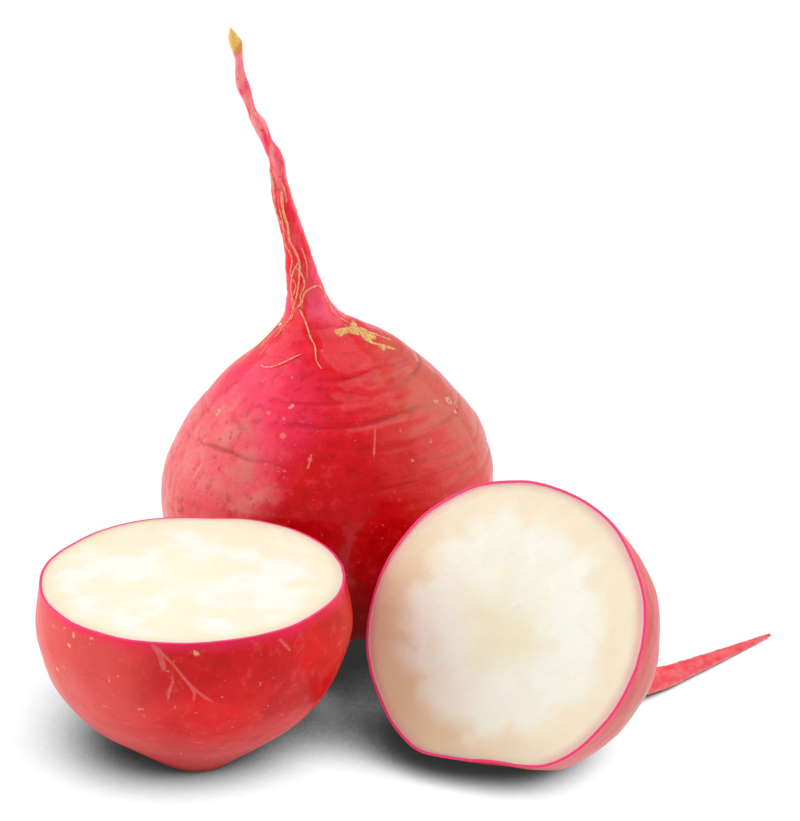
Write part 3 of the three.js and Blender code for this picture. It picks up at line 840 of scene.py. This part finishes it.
def cut_flesh(
    name, at, turned, rim, cloud, heart, shade, shade_way, shading, reach, patchy, blushing, hollows
):
    """The flesh of a half: crisp, cream near the skin, with a lobed white cloud round a yellowish heart."""
    flesh = Finish(name, at, turned)
    level = flesh.stretched(1, 1, 0)
    radius = flesh.vector("LENGTH", level, output="Value") / CUT_RADIUS
    wander = flesh.noise(9, 2, at=level)
    small = flesh.noise(3.2, 3, at=level, rough=0.55)
    tiny = flesh.noise(0.8, 2, at=level)
    turn = flesh.node("ShaderNodeMath", {"operation": "ARCTAN2"}, {0: flesh.y, 1: flesh.x})
    turn = turn + (wander - 0.5) * 1.1
    lump = flesh.noise(7, 1, at=level)
    edge = radius - (turn * 5.5).wave().size() * 0.09 - (turn * 2.5 + 0.8).wave().size() * 0.05
    edge = edge + (small - 0.5) * 0.12 + (wander - 0.5) * 0.16 + (lump - 0.5) * 0.1
    cloudy = edge.ramp(reach + 0.05, reach - 0.17)
    cloudy = cloudy * (wander.ramp(0.42, 0.58) * patchy + (1 - patchy))
    # Painted shade: the face turns to the shade colour towards shade_way, and its white cloud fades there.
    side = flesh.facing((0, 0, CUT_HEIGHT), shade_way).ramp(-0.2, 0.9) * radius.ramp(0.1, 0.9)
    flesh.colour = flesh.mix(side * shading, rim, shade)
    flesh.cover(cloudy * (side * -0.2 + 0.95), cloud)
    # The heart is a little yellower, and so are soft hollows between the lumps of the cloud.
    middle = (radius + (wander - 0.5) * 0.4 + (lump - 0.5) * 0.15).ramp(0.48, 0.05)
    flesh.cover(middle * 0.75, heart)
    between = lump.ramp(0.5, 0.32) * radius.ramp(0.75, 0.5)
    flesh.cover(between * 0.16, heart)
    for x, y, size in hollows:
        hollow = (flesh.away((x, y, CUT_HEIGHT)) + small * 2.4).ramp(size + 2.6, size + 0.2)
        flesh.cover(hollow * 0.3, heart)
    flesh.cover(tiny.ramp(0.6, 0.75) * 0.1, shade)
    # The last two millimetres under the skin are tinged pink.
    blush = (radius + (small - 0.5) * 0.03).ramp(0.9, 0.985)
    flesh.cover(blush * blushing, tone(250, 168, 168))
    relief = small * 0.4 + tiny * 0.35 + wander * 0.5
    flesh.put(Base_Color=flesh.colour, Roughness=tiny * 0.12 + 0.38, Normal=flesh.bump(relief, 0.3, 0.0004))
    flesh.put(Subsurface_Weight=0.3, Subsurface_Scale=0.004, Subsurface_Radius=(1, 0.75, 0.5))
    flesh.put(Specular_IOR_Level=0.3, Coat_Weight=0.06, Coat_Roughness=0.3)
    return flesh.material


# The crown half's skin: the waxy red shell of the part with the crown, open at the cut. It stands on the
# flat where the leaves were trimmed off, with the cut level and facing up, and is grown fast to the flesh.
CROWN_HALF_AT = (-20.4, -49.9, 0)
CROWN_TURN = Euler((0, 0, math.radians(8)))
CROWN_RINGS = 120
CROWN_SKIN_FLOOR = 1.2
CROWN_FLESH_FLOOR = 1.6
CROWN_MARKS = [
    ((-19.6, -14.2, 29.7), 0.35), ((-18.2, -15.7, 30.6), 0.4), ((-16.8, -17.2, 30.6), 0.35),
    ((-17.5, -17.1, 28.6), 0.4), ((-14.2, -19.4, 31), 0.3), ((-20, -14.3, 23.3), 0.4),
    ((-11.2, -22, 25.5), 0.25), ((2.3, -24.1, 30.8), 0.4), ((-7, -23, 20.7), 0.3),
    ((7.9, -23.1, 30.8), 0.25), ((11.4, -21.3, 24.6), 0.25), ((1.4, -24.2, 20.4), 0.25),
    ((14, 18, 22), 0.35), ((-12, 20, 27), 0.4), ((4, 23.5, 18), 0.3), ((22, 8, 25), 0.35),
]
CROWN_SCRATCHES = [
    (0.45, [(-4.9, -22.9, 32.1), (-3.7, -23.8, 31), (-3.1, -24.2, 29), (-2.9, -24.4, 28.2)]),
    (0.2, [
        (-3.4, -23.8, 30.8), (-1.6, -24.4, 29.1), (0.7, -24.8, 26.2), (2.8, -24.8, 24), (4.9, -24.3, 22),
    ]),
    (0.18, [(-1.7, -24.6, 28.4), (-1.6, -24.8, 26.2), (-2.1, -24.6, 24.8), (-2.4, -24.5, 23.2)]),
    (0.16, [(0.7, -24.8, 26.2), (1.7, -24.9, 24.4), (1.5, -24.8, 22.9)]),
    (0.34, [(-20.7, -12.9, 29.9), (-18.6, -15.4, 30.3), (-16.8, -17.2, 30.9), (-15, -18.7, 31)]),
    (0.26, [(-19.2, -14.6, 28.4), (-17.9, -16.4, 28.9), (-16.2, -17.9, 29.9)]),
    (0.2, [(14.6, -19.6, 30.8), (15.4, -19.3, 29.6), (16, -18.9, 28.7)]),
    (0.18, [(11.9, -21.4, 30.3), (10.4, -21.9, 31.7)]),
    (0.2, [(-22.6, -9.4, 26.4), (-22.4, -9.6, 23.8)]),
    (0.2, [(-10, 22, 30), (-7, 23.2, 27), (-3, 24, 23)]),
    (0.2, [(18, 15, 28), (19.5, 13.4, 25), (20.5, 11.6, 21)]),
]


def in_place(rings, at, turned):
    """Rings of a half's own frame, put where the half lies."""
    axes = np.array(turned.to_matrix())
    return [ring @ axes.T + np.array(at) for ring in rings]


def turned_back(places, turned):
    """Marks given as they lie in the world, in the half's own turned frame."""
    back = turned.to_matrix().inverted()
    return [back @ Vector(place) for place in places]


skin_rings = side_rings(CROWN_FLAT, 0, CUT_HEIGHT, CROWN_RINGS)
for inset, proud in SKIN_EDGE:
    skin_rings.append(second_ring(CROWN_FLAT, FACE_RADIUS, CUT_HEIGHT, inset, proud))
skin_rings += side_rings(CROWN_FLAT, CROWN_SKIN_FLOOR, CUT_HEIGHT, INNER_RINGS, SKIN)[::-1]
crown_skin = loft("crown_half_skin_piece", in_place(skin_rings, CROWN_HALF_AT, CROWN_TURN))
marks = [(turned_back([place], CROWN_TURN)[0], radius) for place, radius in CROWN_MARKS]
scratches = [(width, turned_back(points, CROWN_TURN)) for width, points in CROWN_SCRATCHES]
# The crown half's painted sheen, from the left window, lies on its left.
sheen_way = turned_back([(-0.9, -0.4, 0.1)], CROWN_TURN)[0]
crown_skin.data.materials.append(
    cut_skin(
        "red skin, crown half", CROWN_HALF_AT, CROWN_TURN, painted_sheen=0.6, scratches=scratches, spots=marks,
        spot_tone=tone(248, 176, 140), middle=(0, 0, 20), sheen_way=sheen_way,
    )
)

# The crown half's flesh: crisp and white to cream, with its cut face up, clouded round the heart, and a
# little painted shade towards its back. It fills the skin and is grown fast to it.
flesh_rings = side_rings(CROWN_FLAT, CROWN_FLESH_FLOOR, CUT_HEIGHT, FLESH_RINGS, SKIN + SEAM)
flesh_rings += face_rings(CROWN_FLAT, 1)
crown_flesh = loft("crown_half_flesh_piece", in_place(flesh_rings, CROWN_HALF_AT, CROWN_TURN))
crown_flesh.data.materials.append(
    cut_flesh(
        "cream flesh, crown half", CROWN_HALF_AT, CROWN_TURN,
        rim=tone(252, 240, 208), cloud=tone(255, 254, 244), heart=tone(252, 247, 218),
        shade=tone(250, 232, 192), shade_way=(0, 1, 0), shading=0.4, reach=0.84, patchy=0.7, blushing=0.2,
        hollows=[(-12.4, -3.9, 1.6), (9.8, 2.6, 1.6), (-7, 14.2, 1.3), (3, -12, 1.2)],
    )
)
for piece, node, slot in (
    (crown_skin, "crown_half_skin", "cut_radish_skin"),
    (crown_flesh, "crown_half_flesh", "cut_radish_flesh"),
):
    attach(piece, "root")
    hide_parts(node)


# The tail half's skin: the waxy red shell of the part with the tap root, open at the cut and grown fast
# to the flesh. It lies on its rounded side, flattened a little where it touches, with the cut to the
# front and the root bent along the surface behind it.
TAIL_CUT_AT = Vector((28.8, -53.2, 0))
TAIL_TURN = math.radians(31.5)
TAIL_DIP = math.radians(32.8)
REST_FLAT_DEPTH = 0.15
# The tap root's route over the surface, as (x, y, height, radius) in the world.
TAIL_ROUTE = [
    (47.4, -30.2, 5.4, 3.2), (52.2, -29.4, 3.2, 2.5), (57, -26, 2.15, 1.95), (63.6, -19.9, 1.6, 1.4),
    (70.6, -13.1, 1.05, 0.85), (77.3, -6.5, 0.55, 0.3),
]
NECK_RADIUS, NECK_HEIGHT = SECOND_OUTLINE[-1]
# Just past the neck, as (how far past it, radius), the root narrows before it bends.
PAST_NECK = (1.9, 4.7)
TAIL_SKIN_CEILING = NECK_HEIGHT - 1.5
TAIL_FLESH_CEILING = NECK_HEIGHT - 1.9
DOME_RINGS = 130
TAIL_RINGS = 300
TAIL_START = 2

# Tipped over about X first, then turned about Z.
TAIL_TURNED = Euler((-math.pi / 2 - TAIL_DIP, 0, -TAIL_TURN), "XYZ")
facing = TAIL_TURNED.to_matrix()
axis = facing @ Vector((0, 0, 1))
dome = side_rings(TAIL_FLAT, CUT_HEIGHT, NECK_HEIGHT, DOME_RINGS)
turn_matrix = np.array(facing)
foot = np.array(TAIL_CUT_AT - axis * CUT_HEIGHT)
foot[2] -= float((np.vstack(dome) @ turn_matrix.T + foot)[:, 2].min()) + REST_FLAT_DEPTH


def above_surface(ring):
    """The ring with whatever lies below the surface pressed flat on it."""
    world = ring @ turn_matrix.T + foot
    world[:, 2] = np.maximum(world[:, 2], 0)
    return (world - foot) @ turn_matrix


to_half = [((np.array(point[:3]) - foot) @ turn_matrix, point[3]) for point in TAIL_ROUTE]
route = [(0, 0, NECK_HEIGHT, NECK_RADIUS), (0, 0, NECK_HEIGHT + PAST_NECK[0], PAST_NECK[1])]
route += [(*place, radius) for place, radius in to_half]
tail = through(route, TAIL_RINGS)[TAIL_START:]
knobs = 1 + 0.015 * np.sin(np.arange(len(tail)) * 0.21) * smooth_step(np.arange(len(tail)), 20, 60)
tail_rings = along_path(tail[:, :3], tail[:, 3] * knobs, ROOT_SIDES, start_way=(1, 0, 0))
tail_rings = [ring + 0.02 * ripples(ring, 1.6, 31)[:, None] * (ring - ring.mean(0)) for ring in tail_rings]

skin_rings = side_rings(TAIL_FLAT, CUT_HEIGHT, TAIL_SKIN_CEILING, INNER_RINGS, SKIN)[::-1]
for inset, proud in reversed(SKIN_EDGE):
    skin_rings.append(second_ring(TAIL_FLAT, FACE_RADIUS, CUT_HEIGHT, inset, -proud))
skin_rings += [above_surface(ring) for ring in dome + tail_rings]
tail_skin = loft("tail_half_skin_piece", in_place(skin_rings, foot, TAIL_TURNED))

# Marks on the tail half are given in its own frame: round it in degrees, and along it from the foot.
# Spots have their radius last, and scratches their width first.
TAIL_SPOTS = [
    (17, 40, 1.5), (22, 41.5, 1), (9, 40.5, 1.2), (2, 39.5, 0.9), (27, 39, 0.8), (-4, 50, 0.5),
    (14, 52, 0.4), (2, 36, 0.3), (-30, 50, 0.4), (150, 45, 0.5), (200, 52, 0.5), (250, 40, 0.4),
]
TAIL_SCRATCHES = [
    (0.25, [(10, 56), (16, 53), (24, 50)]),
    (0.2, [(-15, 54), (-8, 50), (0, 46)]),
    (0.2, [(180, 50), (190, 45), (200, 40)]),
]


def on_second(degrees, height):
    radius = second_radius(height)
    turn = math.radians(degrees)
    return Vector((radius * math.cos(turn), radius * math.sin(turn), height))


spots = [(on_second(degrees, height), size) for degrees, height, size in TAIL_SPOTS]
scratches = [(width, [on_second(*place) for place in route]) for width, route in TAIL_SCRATCHES]
# The tail half's painted sheen, from the right window, lies on its right.
tail_skin.data.materials.append(
    cut_skin(
        "red skin, tail half", foot, TAIL_TURNED, painted_sheen=0.9, scratches=scratches, spots=spots,
        spot_tone=tone(186, 112, 70), middle=(0, 0, 40), sheen_way=(0.9, 0.35, 0.3),
    )
)

# The tail half's flesh: the other side of the same cut, white to cream, with painted shade making it
# browner towards its lower left.
# It fills the skin up to the neck and is grown fast to it.
flesh_rings = face_rings(TAIL_FLAT, -1)[::-1]
flesh_rings += side_rings(TAIL_FLAT, CUT_HEIGHT, TAIL_FLESH_CEILING, FLESH_RINGS, SKIN + SEAM)
tail_flesh = loft("tail_half_flesh_piece", in_place(flesh_rings, foot, TAIL_TURNED))
tail_flesh.data.materials.append(
    cut_flesh(
        "cream flesh, tail half", foot, TAIL_TURNED,
        rim=tone(255, 236, 208), cloud=tone(255, 254, 240), heart=tone(244, 233, 196),
        shade=tone(236, 206, 168), shade_way=(-0.75, 0.65, 0), shading=0.9,
        reach=0.68, patchy=0.12, blushing=0.65,
        hollows=[
            (-5.6, -10.1, 1.5), (0, -11.4, 0.8), (9.1, 0.8, 1.2), (-10.9, 5.6, 1.2), (6.8, 7.7, 0.6),
            (6, 14.7, 0.3),
        ],
    )
)
for piece, node, slot in (
    (tail_skin, "tail_half_skin", "cut_radish_skin"),
    (tail_flesh, "tail_half_flesh", "cut_radish_flesh"),
):
    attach(piece, "root")
    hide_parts(node)


# The stage: a white sheet that glows evenly, as paper on a light table does, with painted shadow: its glow
# darkens softly where the radishes keep the light off it. A broad window stands on the left and a weaker
# one on the right, which the skin shows as pale patches, helped by painted sheen in its colour, with a soft
# lamp above. The room looks white, but lights less.
SHEET_REACH = 3.0
SHADOW_REACH = 0.047
# The way from which most of the light comes that the shadows lack.
SHADOW_LEAN = (0.36, -0.48, 0.8)
SHADOW_SAMPLES = 32
SHADOW_SHARES = (0.32, 0.7)
SHADOW_TONE = (0.03, 0.03, 0.03, 1)
SHEET_TONE = (1.04, 1.04, 1.04, 1)
ROOM_LIGHT = 0.45
ROOM_LOOK = 1
corners = [(x * SHEET_REACH, y * SHEET_REACH) for x, y in ((-1, -1), (1, -1), (1, 1), (-1, 1))]
sheet_mesh = bpy.data.meshes.new("white_sheet")
sheet_mesh.from_pydata([(x, y, 0) for x, y in corners], [], [(0, 1, 2, 3)])
sheet_piece = placed("white_sheet", sheet_mesh)
sheet = Finish("white sheet")
lean = sheet.node("ShaderNodeCombineXYZ", {}, dict(zip("XYZ", SHADOW_LEAN)))
inputs = {"Distance": SHADOW_REACH, "Normal": lean}
# Painted shadow: the sheet's glow is dimmed where the radishes close in round it.
near = sheet.node("ShaderNodeAmbientOcclusion", {"samples": SHADOW_SAMPLES}, inputs, output="AO")
glow = sheet.mix(near.ramp(*SHADOW_SHARES), SHADOW_TONE, SHEET_TONE)
sheet.put(Base_Color=(0, 0, 0, 1), Specular_IOR_Level=0, Emission_Color=glow, Emission_Strength=1)
sheet_piece.data.materials.append(sheet.material)


def lamp(name, place, aim, width, height, glow):
    """A flat soft lamp, in metres: glow is how bright its face looks, where the sheet's is 1."""
    data = bpy.data.lights.new(name, "AREA")
    data.shape = "RECTANGLE"
    data.size = width
    data.size_y = height
    data.energy = glow * math.pi * width * height
    fixture = placed(name, data)
    fixture.location = place
    fixture.rotation_euler = (Vector(aim) - Vector(place)).to_track_quat("-Z", "Y").to_euler()


lamp("left_window", (-0.75, 0.05, 0.5), (0, 0.02, 0.4), 1.35, 0.95, 1.75)
lamp("right_window", (0.8, 0.25, 0.4), (0, 0.0, 0.1), 0.9, 0.7, 1.4)
lamp("high_lamp", (0.2, 0.1, 0.85), (0, -0.02, 0.02), 0.6, 0.6, 2.3)
world = bpy.data.worlds.new("room")
world.use_nodes = True
room = world.node_tree.nodes["Background"]
glimpse = world.node_tree.nodes.new("ShaderNodeLightPath")
strength = world.node_tree.nodes.new("ShaderNodeMapRange")
strength.inputs["To Min"].default_value = ROOM_LIGHT
strength.inputs["To Max"].default_value = ROOM_LOOK
room.inputs["Color"].default_value = (1, 1, 1, 1)
world.node_tree.links.new(glimpse.outputs["Is Camera Ray"], strength.inputs["Value"])
world.node_tree.links.new(strength.outputs["Result"], room.inputs["Strength"])
bpy.context.scene.world = world
